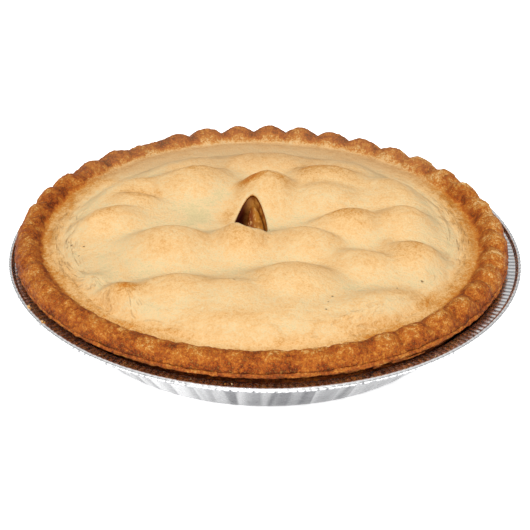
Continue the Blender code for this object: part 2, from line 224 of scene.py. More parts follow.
# The dome bakes by its height, from the valleys to the crests.
VALLEY_Z, CREST_Z = 39.0 * MM, 47.0 * MM
BAKE_LOW, BAKE_RANGE = 0.10, 0.14
TROUGH_BAKE, TROUGH_SIDES_BAKE = 0.13, 0.18     # inside the rim, and more left and right
VENT_PALE = 0.10                                # the vent's lip
# Darker along the creases: partly browning in the folds, partly painted shade.
CREASE_BAKE_AND_SHADE = 0.09
# How much the rim has browned from its foot inside (1) over the crest to its edge (2).
RIM_BAKE = (
    (1.00, 0.02), (1.12, 0.09), (1.22, 0.24), (1.30, 0.42), (1.45, 0.48), (1.75, 0.50),
    (1.86, 0.56), (2.00, 0.68),
)
# Where the rim browned more or less: azimuth and half width in degrees, added bake.
RIM_UNEVEN = (
    (0.0, 30.0, 0.02), (60.0, 32.0, -0.17), (42.0, 10.0, -0.08), (98.0, 22.0, -0.08),
    (-60.0, 14.0, -0.06), (-98.0, 20.0, -0.02), (-140.0, 20.0, 0.02), (180.0, 22.0, 0.03),
    (140.0, 18.0, -0.03),
)
REAR_BAKE, REAR_SLOPE_PALE = 0.08, 0.17         # the rim at the back, and its inner slope
# Painted shade in the rim's notches, with paler tops on the crimps.
NOTCH_SHADE, NOTCH_MIDDLE = 0.09, 0.2
DARKEST = 0.86

# Number of points in a ring.
COARSE, FINE = 4 * CRIMPS, 16 * CRIMPS
RIM_STEPS = 5                     # rings for each row of the rim's section

# ---------------------------------------------------------------- foil pan

FOIL = 0.25 * MM
PAN_BASE_R = 91.3 * MM
PAN_CORNER_R, PAN_CORNER_Z = 93.2 * MM, 1.8 * MM
PAN_WALL_TOP_R, PAN_WALL_TOP_Z = 112.9 * MM, 25.1 * MM
FLANGE_IN_R, FLANGE_OUT_R, FLANGE_Z = 114.2 * MM, 120.0 * MM, 26.4 * MM
BEAD_R, BEAD_Z, BEAD_TUBE = 121.6 * MM, 27.4 * MM, 0.9 * MM
BEAD_FROM, BEAD_TO, BEAD_STEPS = 190.0, -100.0, 9       # how far round it is rolled
NOTCH_DEPTH, RAGGED_DEPTH = 0.05 * MM, 0.06 * MM
# Painted shadow where the bead rolls under, and painted shade in its notches.
UNDER_DARK, NOTCH_DARK = 0.75, 0.3
PLEATS = 58
RIBS = 4 * PLEATS
WALL_STEPS = 9
WALL_COUNT, RIB_COUNT = 12 * PLEATS, 8 * RIBS
PLEAT_DEPTH = 0.55 * MM
PLEAT_DRIFT, PLEAT_LEAN = 3.0, 2.6
FOLD_SHARPNESS = 0.96                 # 0 is a soft wave, 1 a row of straight folds
RIB_DEPTH = 0.14 * MM
# Ends of the foil's colour, which carries painted reflection and shade.
FOIL_DARK = (0.10, 0.10, 0.11, 1.0)
FOIL_BRIGHT = (0.95, 0.95, 0.95, 1.0)
# Rows of the flange: way from its inner to its outer edge, depth of its ribs.
FLANGE_ROWS = ((0.0, 0.2), (0.12, 0.8), (0.35, 1.0), (0.65, 1.0), (0.9, 0.9), (1.0, 0.5))
# Painted shade on the flange: its level, and how much darker its ribs' valleys are.
FLANGE_SHADE, RIB_DARK = 0.95, 0.55
BASE_SHADE = 0.6
# Painted reflection and shade on the wall's foil: its level everywhere, and lighter or darker by
# where it faces.
WALL_SHADE = 0.33
WALL_LIGHTS = (
    (174.0, 18.0, -0.22), (-150.0, 16.0, 0.2), (120.0, 16.0, 0.16), (60.0, 20.0, 0.16),
    (-40.0, 25.0, 0.18),
)
# Painted shade along sharp creases of the wall: azimuth, how far they lean and half width in
# degrees, how dark.
WALL_CREASES = (
    (-171.0, 1.2, 0.7, 0.22), (177.4, -1.9, 0.6, 0.26), (-163.0, 2.2, 0.8, 0.10),
    (169.0, -1.6, 0.8, 0.12), (158.0, -2.0, 0.7, 0.16), (-148.0, 1.4, 0.8, 0.12),
)

# ---------------------------------------------------------------- what came loose

# Flakes, in degrees and millimetres round the pie: azimuth, radius, height, length, width,
# and how steeply the flake stands.
FLAKES = (
    (159.3, 116.6, 28.9, 7.5, 2.8, 62), (153.3, 117.0, 28.4, 4.5, 2.4, 55),
    (147.6, 117.4, 28.9, 9.0, 2.0, 65), (143.6, 117.8, 28.6, 11.0, 1.8, 50),
    (140.6, 117.3, 29.4, 8.0, 1.6, 60), (136.6, 117.2, 28.9, 6.0, 1.8, 60),
    (81.0, 117.6, 31.0, 19.0, 2.8, 80),
)
FLAKE_THICK = 0.35 * MM
FLAKE_NARROWS = 2.4                   # how much a flake narrows towards its ends
FLAKE_BAKE, FLAKE_UNEVEN = 0.76, 0.12
# Crumbs, in degrees and millimetres round the pan: azimuth, radius, size.
# The small ones on the flange, inside the bead, are pale specks that also stand for glints on the
# foil: painted highlights.
CRUMBS = (
    (-115.9, 121.2, 1.5), (-116.6, 120.8, 0.8), (-123.1, 121.5, 1.2), (-123.6, 120.9, 0.7),
    (-163.8, 115.8, 0.5), (-171.6, 116.6, 0.6), (-173.0, 116.0, 0.4), (164.0, 117.5, 0.5),
    (156.0, 118.0, 0.5), (139.0, 118.2, 0.5), (-141.0, 117.6, 0.5), (95.0, 119.0, 0.5),
)
CRUMB_ROUGH = 0.3 * MM
CRUMB_BAKE, CRUMB_UNEVEN = 0.28, 0.2

# ---------------------------------------------------------------- camera and light

CAMERA_ELEVATION = 29.31
CAMERA_DISTANCE = 1.286
CAMERA_TARGET = (0.0, 0.0, 22.5 * MM)
CAMERA_LENS, CAMERA_SENSOR = 181.7, 36.0
CAMERA_ROLL = 0.628
KEY_AZIMUTH, KEY_ELEVATION = -5.0, 44.0     # degrees to the left of the camera, and up
KEY_STRENGTH = 2.85
KEY_SPREAD = 16.0
SKY_LOW, SKY_HIGH = 0.22, 0.75      # light from the surroundings at the horizon and overhead
FLOOR_HALF, FLOOR_GAP = 4.0, 0.1 * MM
FLOOR_COLOUR = (0.93, 0.93, 0.93, 1.0)
FLOOR_GLOW = 0.7
WHITE = (1.0, 1.0, 1.0, 1.0)
LIT = 1.36          # light on a face that looks at the key; colours are given as seen there

# Colours as they look under full light (sRGB, 0 to 255), palest to darkest bake.
CRUST_TONES = (
    (0.00, (232, 210, 156)),
    (0.10, (248, 217, 163)),
    (0.20, (251, 209, 148)),
    (0.30, (247, 197, 131)),
    (0.40, (229, 172, 100)),
    (0.49, (216, 142, 56)),
    (0.58, (204, 120, 40)),
    (0.68, (190, 99, 30)),
    (0.80, (164, 76, 22)),
    (0.90, (134, 56, 15)),
    (1.00, (88, 34, 10)),
)
FLECK_TONE = (228, 154, 68)
PORE_TONE = (112, 46, 10)


# ---------------------------------------------------------------- points on the pie

def blend(value, low, high):
    """0 below `low`, 1 above `high` and a smooth step between."""
    share = np.clip((value - low) / (high - low), 0.0, 1.0)
    return share * share * (3.0 - 2.0 * share)


def dome_height(x, y):
    """Height of the lid's upper face inside the rim, lumps included."""
    reach = np.clip(np.hypot(x - PIE_X, y - MOUND_Y) / MOUND_R, 0.0, 1.0)
    swell = np.ones_like(x)
    for at_x, at_y, half_length, half_width, turn, height in LUMPS:
        cos_t, sin_t = math.cos(math.radians(turn)), math.sin(math.radians(turn))
        across, along = y - at_y * MM, x - at_x * MM
        length = (along * cos_t + across * sin_t) / (half_length * MM)
        width = (across * cos_t - along * sin_t) / (half_width * MM)
        width = width / np.where(width < 0.0, LUMP_FRONT_STRETCH, LUMP_BACK_SHRINK)
        bump = height * MM * np.exp(-(length ** 2 + width ** 2) ** LUMP_SHARPNESS)
        swell = swell + np.exp(LUMP_BLEND * bump) - 1.0
    fade = 1.0 - np.clip((reach - LUMP_FADE) / (1.0 - LUMP_FADE), 0.0, 1.0) ** 2
    bare = DOME_EDGE_Z + DOME_RISE * (1.0 - reach ** DOME_POWER)
    return bare + fade * np.log(swell) / LUMP_BLEND


def crimp_azimuth(turn):
    """Azimuth in radians of a place on the rim that is `turn` crimps round it."""
    even = np.radians(FIRST_CRIMP + 360.0 * turn / CRIMPS)
    return even - math.radians(CRIMP_DRIFT) * np.sin(3.0 * even)


def stretches(azimuth, rows):
    """Sum of soft stretches round the pie: rows of azimuth, half width in degrees, amount."""
    total = np.zeros_like(azimuth)
    for middle, half_width, amount in rows:
        away = (np.degrees(azimuth) - middle + 180.0) % 360.0 - 180.0
        total = total + amount * np.exp(-(away / half_width) ** 2)
    return total


def crimp_wave(turn):
    """1 on an outward crimp, -1 in the notch between two, less where they are flat."""
    depth = 1.0 - stretches(crimp_azimuth(turn), CRIMP_FLATS)
    wave = 2.0 * np.abs(np.cos(math.pi * turn)) ** CRIMP_SHARPNESS - 1.0
    return depth * wave


def turns(count):
    """Where the points of a ring lie, counted in crimps."""
    return np.arange(count) * CRIMPS / count


def around_pie(turn, radius, height):
    """Points on a circle round the pie's own middle."""
    azimuth = crimp_azimuth(turn)
    x = PIE_X + radius * np.sin(azimuth)
    y = PIE_Y + radius * np.cos(azimuth)
    return np.stack([x, y, np.broadcast_to(height, x.shape)], axis=1)


def rim_ring(turn, row):
    """One ring of the crimped rim."""
    radius, height, out, up = (value * MM for value in row)
    wave = crimp_wave(turn)
    lifted = max((height - RIM_FOOT_Z) / (RIM_CREST_Z - RIM_FOOT_Z), 0.0)
    sunk = lifted * stretches(crimp_azimuth(turn), RIM_SINKS)
    return around_pie(turn, radius + out * wave, height + up * wave - sunk)


def vent_outline(turn, share=1.0):
    """Plan of the vent's edge, or of the same egg shape at a share of its size."""
    azimuth = crimp_azimuth(turn)
    bulge = 1.0 - VENT_TAPER * np.cos(azimuth)
    x = VENT_X + share * VENT_HALF_WIDTH * np.sin(azimuth) * bulge
    y = VENT_Y + share * VENT_HALF_LENGTH * np.cos(azimuth)
    return x, y


def dome_plan(turn, way):
    """Plan of a ring that is part of the way from the vent (0) to the dome's edge (1)."""
    vent_x, vent_y = vent_outline(turn)
    edge = around_pie(turn, DOME_R, 0.0)
    return vent_x + way * (edge[:, 0] - vent_x), vent_y + way * (edge[:, 1] - vent_y)


def top_ring(turn, way):
    """One ring of the lid's upper face."""
    x, y = dome_plan(turn, way)
    return np.stack([x, y, dome_height(x, y)], axis=1)


def under_ring(turn, way, lower=0.0):
    """One ring of the lid's lower face, or of a face that lies just below it."""
    x, y = dome_plan(turn, way)
    thin = min(way / VENT_THIN_SPAN, 1.0)
    thick = VENT_LIP + thin * (LID_THICK - VENT_LIP)
    return np.stack([x, y, dome_height(x, y) - thick - lower], axis=1)


def shell_ring(turn, row):
    """A ring of the shell or the filling; low down it is centred on the pan."""
    radius, height = row
    lean = min(max((height - CENTRED_Z) / (LEANING_Z - CENTRED_Z), 0.0), 1.0)
    ring = around_pie(turn, radius * MM, height * MM)
    ring[:, 0] -= (1.0 - lean) * PIE_X
    ring[:, 1] -= (1.0 - lean) * PIE_Y
    return ring


def flat_ring(turn, share, height):
    """A level ring in the well under the vent."""
    x, y = vent_outline(turn, share)
    return np.stack([x, y, np.full_like(x, height)], axis=1)


def smooth_rows(rows, steps):
    """The rows of a section and `steps` - 1 more between each two, on a smooth curve."""
    rows = np.asarray(rows, float)
    ends = np.vstack([2 * rows[0] - rows[1], rows, 2 * rows[-1] - rows[-2]])
    curve = []
    for before, here, there, after in zip(ends, ends[1:], ends[2:], ends[3:]):
        for t in np.arange(steps) / steps:
            curve.append(0.5 * (2 * here + (there - before) * t
                                + (2 * before - 5 * here + 4 * there - after) * t ** 2
                                + (3 * here - 3 * there + after - before) * t ** 3))
    return curve + [rows[-1]]


# ---------------------------------------------------------------- noise on points

def grain(points, size, seed, octaves=3):
    """Soft noise of about -1 to 1 at each point, its lumps `size` metres across."""
    shift = Vector((seed * 3.71, seed * 5.13, seed * 7.97))
    return np.array([noise.fractal(Vector(point) / size + shift, 1.0, 2.0, octaves)
                     for point in points])


def polar(points):
    """Radius and azimuth of each point round the pie's middle."""
    x, y = points[:, 0] - PIE_X, points[:, 1] - PIE_Y
    return np.hypot(x, y), np.arctan2(x, y)


def drawn_out(points, long, wide):
    """Places that run on `long` metres along the rim for each step, and `wide` across it."""
    reach, azimuth = polar(points)
    return np.stack([np.sin(azimuth) * DOME_R / long, np.cos(azimuth) * DOME_R / long,
                     (reach + points[:, 2]) / wide], axis=1)


def along_rim(points, long, wide, seed, octaves=2):
    """Noise drawn out along the rim: `long` metres along it and `wide` across."""
    return grain(drawn_out(points, long, wide), 1.0, seed, octaves)


def from_line(points, line):
    """Distance in plan of each point from a broken line in millimetres."""
    plan = points[:, :2] / MM
    nearest = np.full(len(points), np.inf)
    for start, end in zip(line, line[1:]):
        start, step = np.array(start, float), np.subtract(end, start).astype(float)
        share = np.clip((plan - start) @ step / (step @ step), 0.0, 1.0)
        gap = plan - start - share[:, None] * step
        nearest = np.minimum(nearest, np.hypot(gap[:, 0], gap[:, 1]))
    return nearest * MM


# ---------------------------------------------------------------- making meshes

def loft(bm, rings, closed=False):
    """Faces from each ring of points to the next, and back to the first if closed.

    The rings are joined while they lie as a stack of equal circles and go to their
    points afterwards, so that steep places can't twist them. Returns each ring's edges.
    """
    circles, laid = [], []
    for level, points in enumerate(rings):
        verts = bmesh.ops.create_circle(bm, radius=1.0, segments=len(points))["verts"]
        bmesh.ops.translate(bm, verts=verts, vec=(0.0, 0.0, level))
        circles.append(verts)
        laid.append(list(dict.fromkeys(edge for vert in verts for edge in vert.link_edges)))
    for ring, after in zip(laid, laid[1:]):
        bmesh.ops.bridge_loops(bm, edges=ring + after)
    if closed:
        bmesh.ops.translate(bm, verts=circles[0], vec=(0.0, 0.0, len(rings)))
        bmesh.ops.bridge_loops(bm, edges=laid[-1] + laid[0])
    for verts, points in zip(circles, rings):
        for vert, point in zip(verts, points):
            vert.co = point
    return laid


def close_ring(bm, ring, height):
    """Faces from a ring of edges to a point in its middle at the height given."""
    cap = bmesh.ops.contextual_create(bm, geom=ring)["faces"]
    middle = bmesh.ops.poke(bm, faces=cap)["verts"][0]
    middle.co.z = height


def push_out(bm, distances):
    """Moves every vertex along its normal by its own distance."""
    bm.normal_update()
    bm.verts.ensure_lookup_table()
    moves = [vert.normal * distance for vert, distance in zip(bm.verts, distances)]
    for vert, move in zip(bm.verts, moves):
        vert.co += move


def vert_points(bm):
    """Places of all vertices as an array."""
    return np.array([vert.co for vert in bm.verts])


def finish_piece(name, bm, material, slot, replaced=(), closed=True, **values):
    """The mesh as a piece that rides on the pie, with named values on its vertices.

    The faces of a closed piece are turned outwards; an open sheet keeps its own way.
    """
    if closed:
        bmesh.ops.recalc_face_normals(bm, faces=bm.faces)
    mesh = bpy.data.meshes.new(name)
    bm.to_mesh(mesh)
    bm.free()
    mesh.shade_smooth()
    for key, numbers in values.items():
        kind, field = ("FLOAT_VECTOR", "vector") if np.ndim(numbers) == 2 else ("FLOAT", "value")
        layer = mesh.attributes.new(key, kind, "POINT")
        layer.data.foreach_set(field, np.ravel(numbers).astype(np.float32))
    mesh.materials.append(material)
    piece = bpy.data.objects.new(name, mesh)
    bpy.context.scene.collection.objects.link(piece)
    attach(piece, "root")
    if replaced:
        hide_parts(*replaced)
    return piece


# ---------------------------------------------------------------- nodes of a material

def linear(tone, light=LIT):
    """Colour of a surface that looks like `tone` (sRGB, 0 to 255) under the light given."""
    share = np.asarray(tone, float) / 255.0
    value = np.where(share <= 0.04045, share / 12.92, ((share + 0.055) / 1.055) ** 2.4)
    return (*(value / light), 1.0)


def put(tree, kind, inputs=(), **settings):
    """Adds a node; each input is given a value or joined to another node's output."""
    node = tree.nodes.new(kind)
    for key, value in settings.items():
        setattr(node, key, value)
    for key, value in dict(inputs).items():
        if isinstance(value, bpy.types.NodeSocket):
            tree.links.new(value, node.inputs[key])
        else:
            node.inputs[key].default_value = value
    return node


def mottle(tree, place, size, detail=2.0, roughness=0.55, distortion=0.0):
    """Noise from 0 to 1 whose lumps are about `size` metres across."""
    inputs = {"Vector": place, "Scale": 1.0 / size, "Detail": detail,
              "Roughness": roughness, "Distortion": distortion}
    return put(tree, "ShaderNodeTexNoise", inputs).outputs[0]


def ramp(tree, value, low, high, to_low=0.0, to_high=1.0):
    """A smooth step from `to_low` to `to_high` while the value goes from low to high."""
    inputs = {"Value": value, "From Min": low, "From Max": high,
              "To Min": to_low, "To Max": to_high}
    node = put(tree, "ShaderNodeMapRange", inputs, interpolation_type="SMOOTHSTEP")
    return node.outputs["Result"]


def sum_of(tree, first, second, operation="ADD"):
    """Two values added, or joined by another operation."""
    return put(tree, "ShaderNodeMath", {0: first, 1: second}, operation=operation).outputs[0]


def times(tree, first, second):
    """Two values multiplied."""
    return sum_of(tree, first, second, "MULTIPLY")


def mix_tone(tree, share, first, second, blend_type="MIX"):
    """Two colours mixed."""
    node = put(tree, "ShaderNodeMix", {0: share, 6: first, 7: second},
               data_type="RGBA", blend_type=blend_type)
    return node.outputs[2]


def tone_ramp(tree, value, tones):
    """The colour that a value from 0 to 1 picks out of a row of tones."""
    node = put(tree, "ShaderNodeValToRGB", {"Fac": value})
    elements = node.color_ramp.elements
    for _ in tones[2:]:
        elements.new(0.5)
    for element, (place, tone) in zip(elements, tones):
        element.position = place
        element.color = linear(tone)
    return node.outputs["Color"]


def object_place(tree):
    """Object coordinates."""
    return put(tree, "ShaderNodeTexCoord").outputs["Object"]


def vertex_value(tree, name, output="Fac"):
    """A value that is kept on the vertices."""
    return put(tree, "ShaderNodeAttribute", attribute_name=name).outputs[output]


def new_material(name):
    """A new material with its Principled shader: (material, tree, shader)."""
    material = bpy.data.materials.new(name)
    material.use_nodes = True
    tree = material.node_tree
    return material, tree, tree.nodes["Principled BSDF"]


def feed(tree, shader, **sources):
    """Joins outputs to the shader's sockets, whose names are written with _ for spaces."""
    for key, source in sources.items():
        tree.links.new(source, shader.inputs[key.replace("_", " ")])


def bumped(tree, height, distance, strength=1.0, normal=None):
    """Normal from a height of 0 to 1 that stands for `distance` metres."""
    inputs = {"Height": height, "Distance": distance, "Strength": strength}
    if normal is not None:
        inputs["Normal"] = normal
    return put(tree, "ShaderNodeBump", inputs).outputs["Normal"]


def new_group(name, inputs, outputs):
    """A node group with the sockets given: (group, its inputs' node, its outputs' node)."""
    group = bpy.data.node_groups.new(name, "ShaderNodeTree")
    for key, kind in inputs:
        group.interface.new_socket(key, in_out="INPUT", socket_type=kind)
    for key, kind in outputs:
        group.interface.new_socket(key, in_out="OUTPUT", socket_type=kind)
    return group, group.nodes.new("NodeGroupInput"), group.nodes.new("NodeGroupOutput")


def make_baked_group():
    """Colour and relief of baked dough, from how far it has baked.

    Bake runs from 0, pale, to 1, dark brown, with the painted shade that the pieces add to it.
    Patchy is how much neighbouring places differ, Flecked how many small pale flecks and dark
    pores show.
    """
    group, given, result = new_group(
        "baked_dough",
        (("Place", "NodeSocketVector"), ("Bake", "NodeSocketFloat"),
         ("Patchy", "NodeSocketFloat"), ("Flecked", "NodeSocketFloat")),
        (("Color", "NodeSocketColor"), ("Height", "NodeSocketFloat")),
    )
    place, bake = given.outputs["Place"], given.outputs["Bake"]
    patchy, flecked = given.outputs["Patchy"], given.outputs["Flecked"]
    broad = ramp(group, mottle(group, place, 10 * MM, 3.0), 0.34, 0.66, -0.5, 0.5)
    close = ramp(group, mottle(group, place, 2.6 * MM, 4.0, 0.65), 0.36, 0.64, -0.5, 0.5)
    fine = mottle(group, place, 0.9 * MM, 3.0, 0.7)
    uneven = sum_of(group, times(group, broad, 0.32), times(group, close, 0.36))
    uneven = sum_of(group, uneven, ramp(group, fine, 0.36, 0.64, -0.27, 0.27))
    depth = sum_of(group, bake, times(group, uneven, patchy))
    colour = tone_ramp(group, depth, CRUST_TONES)
    fleck = times(group, ramp(group, fine, 0.55, 0.65), flecked)
    colour = mix_tone(group, fleck, colour, linear(FLECK_TONE))
    pore = times(group, ramp(group, fine, 0.40, 0.28), flecked)
    colour = mix_tone(group, pore, colour, linear(PORE_TONE))
    group.links.new(colour, result.inputs["Color"])
    rough = sum_of(group, times(group, close, 0.5), fine)
    group.links.new(rough, result.inputs["Height"])
    return group


def baked(tree, place, bake, patchy, flecked):
    """The baked dough group placed in a material: its colour and its height."""
    inputs = {"Place": place, "Bake": bake, "Patchy": patchy, "Flecked": flecked}
    node = put(tree, "ShaderNodeGroup", inputs, node_tree=BAKED_DOUGH)
    return node.outputs["Color"], node.outputs["Height"]


BAKED_DOUGH = make_baked_group()


def pit_mask(tree, place):
    """1 in the small pits of the lid, 0 elsewhere."""
    flat = put(tree, "ShaderNodeVectorMath", {0: place, 1: (1.0, 1.0, 0.0)},
               operation="MULTIPLY").outputs[0]
    mask = 0.0
    for x, y, radius in PITS:
        away = put(tree, "ShaderNodeVectorMath", {0: flat, 1: (x * MM, y * MM, 0.0)},
                   operation="DISTANCE").outputs["Value"]
        inside = ramp(tree, away, 1.3 * radius * MM, 0.4 * radius * MM)
        mask = sum_of(tree, inside, mask, "MAXIMUM")
    return mask


def make_lid_material():
    """Pale dough on the dome that goes over to browned, flecked dough on the rim."""
    material, tree, shader = new_material("lid_dough")
    place = object_place(tree)
    bake, rim = vertex_value(tree, "bake"), vertex_value(tree, "rim")
    patchy = ramp(tree, rim, 0.0, 1.0, 0.24, 0.6)
    flecked = ramp(tree, rim, 0.2, 1.0, 0.04, 0.55)
    colour, height = baked(tree, place, bake, patchy, flecked)
    pits = pit_mask(tree, place)
    # Painted shade in the pits.
    colour = mix_tone(tree, times(tree, pits, 0.75), colour, linear(PIT_SHADE_TONE))
    relief = ramp(tree, rim, 0.0, 1.0, 0.5, 1.2)
    height = sum_of(tree, times(tree, height, relief), times(tree, pits, -1.3))
    drawn = vertex_value(tree, "drawn", "Vector")
    wrinkled = vertex_value(tree, "wrinkled")
    soft = mottle(tree, drawn, 1.0, 3.0, 0.6)
    height = sum_of(tree, height, times(tree, soft, times(tree, wrinkled, 2.6)))
    apart = sum_of(tree, sum_of(tree, mottle(tree, drawn, 1.3), 0.5, "SUBTRACT"), 0.0, "ABSOLUTE")
    broken = ramp(tree, mottle(tree, place, 5 * MM, 1.0), 0.44, 0.56)
    line = times(tree, ramp(tree, apart, 0.05, 0.0), times(tree, broken, wrinkled))
    height = sum_of(tree, height, times(tree, line, -0.7))
    # Painted shade: the wrinkle lines are darkened as well as sunk.
    colour = mix_tone(tree, times(tree, line, 0.25), colour, linear(WRINKLE_SHADE_TONE))
    # Painted shade on the dome's far slope: its colour is mixed towards a duller, darker tone.
    dull = times(tree, vertex_value(tree, "dull"), 0.55)
    colour = mix_tone(tree, dull, colour, linear(FAR_SLOPE_SHADE_TONE))
    feed(tree, shader, Base_Color=colour, Normal=bumped(tree, height, 0.55 * MM),
         Roughness=ramp(tree, bake, 0.2, 0.8, 0.72, 0.62))
    shader.inputs["Specular IOR Level"].default_value = 0.12
    return material


def make_layered_material(name):
    """Browned dough in thin layers."""
    material, tree, shader = new_material(name)
    place = object_place(tree)
    colour, height = baked(tree, place, vertex_value(tree, "bake"), 0.6, 0.5)
    turned = put(tree, "ShaderNodeMapping", {"Vector": place, "Scale": (1.0, 1.0, 9.0)})
    layers = mottle(tree, turned.outputs[0], 6 * MM, 3.0)
    normal = bumped(tree, height, 0.4 * MM, normal=bumped(tree, layers, 0.5 * MM))
    feed(tree, shader, Base_Color=colour, Normal=normal,
         Roughness=ramp(tree, layers, 0.3, 0.7, 0.75, 0.6))
    shader.inputs["Specular IOR Level"].default_value = 0.2
    return material


def make_foil_material():
    """Bright pressed foil with rolling streaks and soft dents; its colour carries painted
    reflection and shade, from the shade value and the streaks.
    """
    material, tree, shader = new_material("pressed_foil")
    place = object_place(tree)
    dents = mottle(tree, place, 9 * MM, 2.0)
    wear = mottle(tree, place, 1.2 * MM, 4.0, 0.7)
    rolled = put(tree, "ShaderNodeMapping", {"Vector": place, "Scale": (1.0, 30.0, 1.0)})
    streaks = mottle(tree, rolled.outputs[0], 12 * MM, 2.0)
    normal = bumped(tree, dents, 0.5 * MM, 0.6)
    normal = bumped(tree, wear, 0.03 * MM, 0.6, normal)
    # Painted reflection and shade: the shade value and the streaks set the foil's colour.
    shade = vertex_value(tree, "shade")
    soft = sum_of(tree, shade, times(tree, sum_of(tree, streaks, 0.5, "SUBTRACT"), 0.2))
    colour = mix_tone(tree, soft, FOIL_DARK, FOIL_BRIGHT)
    feed(tree, shader, Normal=normal, Base_Color=colour,
         Roughness=ramp(tree, sum_of(tree, wear, streaks), 0.7, 1.3, 0.17, 0.32))
    shader.inputs["Metallic"].default_value = 1.0
    return material


def make_filling_material():
    """Soft apple in syrup: painted shade makes it nearly black in the gap on the left; brown gold
    on the right.
    """
    material, tree, shader = new_material("apple_in_syrup")
    place = object_place(tree)
    lumps = mottle(tree, place, 4 * MM, 3.0)
    across = put(tree, "ShaderNodeSeparateXYZ", {"Vector": place}).outputs["X"]
    apple = mix_tone(tree, ramp(tree, lumps, 0.35, 0.7), linear((132, 68, 10)),
                     linear((184, 122, 48)))
    # Painted shade: the left of the vent goes nearly black.
    colour = mix_tone(tree, ramp(tree, across, VENT_X - 5 * MM, VENT_X + 2 * MM),
                      linear((66, 14, 4)), apple)
    feed(tree, shader, Base_Color=colour, Normal=bumped(tree, lumps, 0.8 * MM),
         Roughness=ramp(tree, lumps, 0.3, 0.7, 0.45, 0.7))
    shader.inputs["Specular IOR Level"].default_value = 0.12
    return material


def make_apple_material():
    """Cooked apple: brown gold, paler in streaks that run along the slice, and painted darker on
    its shaded left side.
    """
    material, tree, shader = new_material("cooked_apple_flesh")
    place = object_place(tree)
    drawn = put(tree, "ShaderNodeMapping", {"Vector": place, "Scale": (1.0, 0.22, 1.0)})
    fibres = mottle(tree, drawn.outputs[0], 1.3 * MM, 3.0)
    soft = mottle(tree, place, 4 * MM, 2.0)
    # Painted light and shade: dark brown on the left side, lit brown gold on the right.
    flat = vertex_value(tree, "lit_side")
    colour = mix_tone(tree, flat, linear((128, 56, 4)), linear((200, 132, 46)))
    colour = mix_tone(tree, times(tree, ramp(tree, fibres, 0.5, 0.66), 0.6), colour,
                      linear((240, 186, 116)))
    colour = mix_tone(tree, times(tree, ramp(tree, soft, 0.5, 0.35), 0.45), colour,
                      linear((130, 62, 14)))
    normal = bumped(tree, fibres, 0.35 * MM, normal=bumped(tree, soft, 0.8 * MM))
    feed(tree, shader, Base_Color=colour, Normal=normal,
         Roughness=ramp(tree, soft, 0.3, 0.7, 0.35, 0.55))
    shader.inputs["Specular IOR Level"].default_value = 0.12
    return material


# ---------------------------------------------------------------- the pieces

def lid_ways():
    """Rings of the lid's upper face, closer together where the dough wrinkles."""
    near = np.linspace(0.0, 0.04, 4, endpoint=False)
    inner = np.linspace(0.04, 0.3, 16, endpoint=False)
    middle = np.linspace(0.3, 0.8, 36, endpoint=False)
    outer = np.linspace(0.8, 1.0, 24, endpoint=False)
    return np.concatenate([near, inner, middle, outer])


def wrinkling(points):
    """How much the dome's skin wrinkles at each point, from 0 to about 1."""
    reach, azimuth = polar(points)
    skirt = blend(reach, WRINKLE_IN, WRINKLE_IN + 8 * MM)
    skirt *= 1.0 - blend(reach, WRINKLE_OUT, WRINKLE_OUT + 5 * MM)
    return skirt * stretches(azimuth, WRINKLES)


# A zone tells where on the lid a point lies: 0 at the vent, 1 at the dome's edge, 2 at
# the rim's outer edge and 3 underneath. A bead is 1 on a crimp and -1 between two.

def lid_relief(points, zone, bead):
    """How far fine relief lifts each point of the lid off the smooth shape."""
    on_top = np.clip(3.0 - zone, 0.0, 1.0)
    rim = blend(zone, 1.05, 1.5) * on_top
    dome = (1.0 - rim) * on_top
    lift = SWELL_RISE * grain(points, SWELL_SIZE, 1) + GRAIN_RISE * grain(points, GRAIN_SIZE, 2)
    for width, depth, line in CREASES:
        fold = from_line(points, line) / (CREASE_SPREAD * width * MM)
        lift -= CREASE_DEPTH * depth * MM * np.exp(-fold ** 2)
    ridges = 1.0 - 3.0 * np.abs(along_rim(points, WRINKLE_LONG, WRINKLE_WIDE, 3))
    lift += WRINKLE_RISE * wrinkling(points) * np.clip(ridges, -1.0, 1.0)
    crumble = CRUMBLE_RISE * grain(points, CRUMBLE_SIZE, 4)
    crumble += CRUMB_RISE * grain(points, CRUMB_SIZE, 5)
    layers = LAYER_RISE * along_rim(points * (1, 1, 3), LAYER_LONG, LAYER_WIDE, 6)
    crest = blend(zone, 1.2, 1.4) * (1.0 - blend(zone, 1.7, 1.9))
    beads = crest * bead * stretches(polar(points)[1], BEADS)
    return dome * lift + rim * (crumble + blend(zone, 1.75, 1.9) * layers) + beads


def dome_bake(points, zone):
    """Bake of the dome: its crests, patches and creases, and the trough inside the rim; painted
    shade in the creases and in some patches.
    """
    x, y = points[:, 0], points[:, 1]
    reach, azimuth = polar(points)
    bake = BAKE_LOW + BAKE_RANGE * blend(dome_height(x, y), VALLEY_Z, CREST_Z)
    for at_x, at_y, half_length, half_width, more in PATCHES:
        away = ((x / MM - at_x) / half_length) ** 2 + ((y / MM - at_y) / half_width) ** 2
        bake += more * np.exp(-away)
    trough = blend(reach, 91 * MM, 101 * MM) * (1.0 - 0.7 * blend(zone, 1.3, 1.6))
    bake += (TROUGH_BAKE + TROUGH_SIDES_BAKE * np.sin(azimuth) ** 2) * trough
    bake -= VENT_PALE * (1.0 - blend(zone, 0.0, 0.04))
    # Darker along the creases: partly browning in the folds, partly painted shade.
    for width, depth, line in CREASES:
        fold = from_line(points, line) / (width * MM)
        bake += CREASE_BAKE_AND_SHADE * depth * np.exp(-fold ** 2)
    return bake


